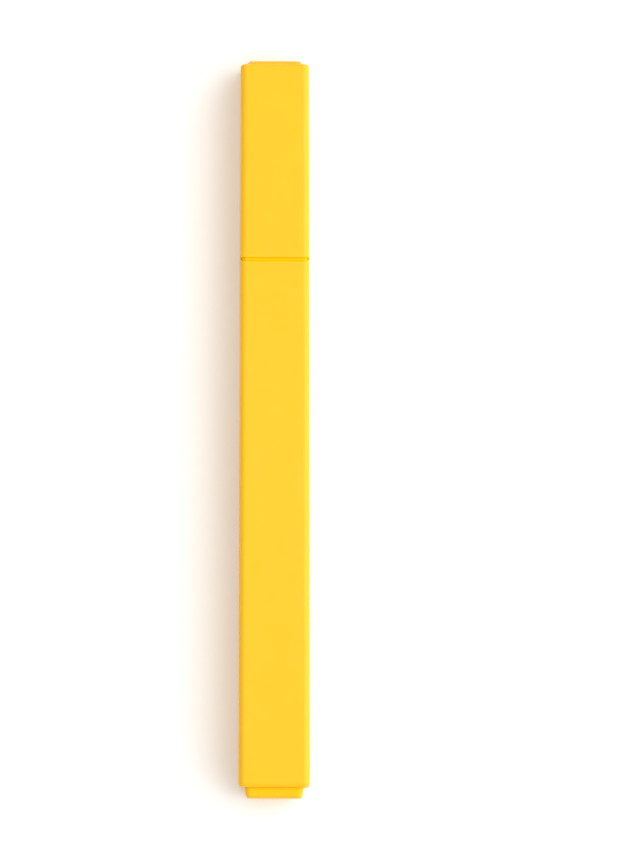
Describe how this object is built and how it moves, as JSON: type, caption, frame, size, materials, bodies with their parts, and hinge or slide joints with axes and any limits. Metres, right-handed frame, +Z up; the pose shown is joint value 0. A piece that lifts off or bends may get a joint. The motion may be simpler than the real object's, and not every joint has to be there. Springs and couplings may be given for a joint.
{
  "type": "capped highlighter",
  "caption": "Square stick highlighter: a slim tapered barrel with a fibre ink reservoir and a chisel nib, closed by a square pull-off cap with a sealing liner.",
  "frame": {"origin": "centre of the bounding box's bottom, on the surface that the pen lies on", "axes": "+Y along the pen from the end plug to the cap, +Z up out of the face that it lies opposite, +X across"},
  "size_m": [0.013, 0.1334, 0.013],
  "materials": {
    "body_plastic": "satin",
    "nib_felt": "matte",
    "ink_fibre": "matte",
    "clear_film": "gloss"
  },
  "bodies": {
    "pen": {"barrel": "body_plastic", "end_plug": "body_plastic", "nib_section": "body_plastic", "nib": "nib_felt", "reservoir_core": "ink_fibre", "reservoir_film": "clear_film"},
    "cap": {"cap_shell": "body_plastic", "cap_liner": "body_plastic"}
  },
  "joints": [
    {"name": "cap_pull", "type": "slide", "parent": "pen", "child": "cap", "axis": [0, 1, 0], "range_m": [0, 0.04]}
  ]
}
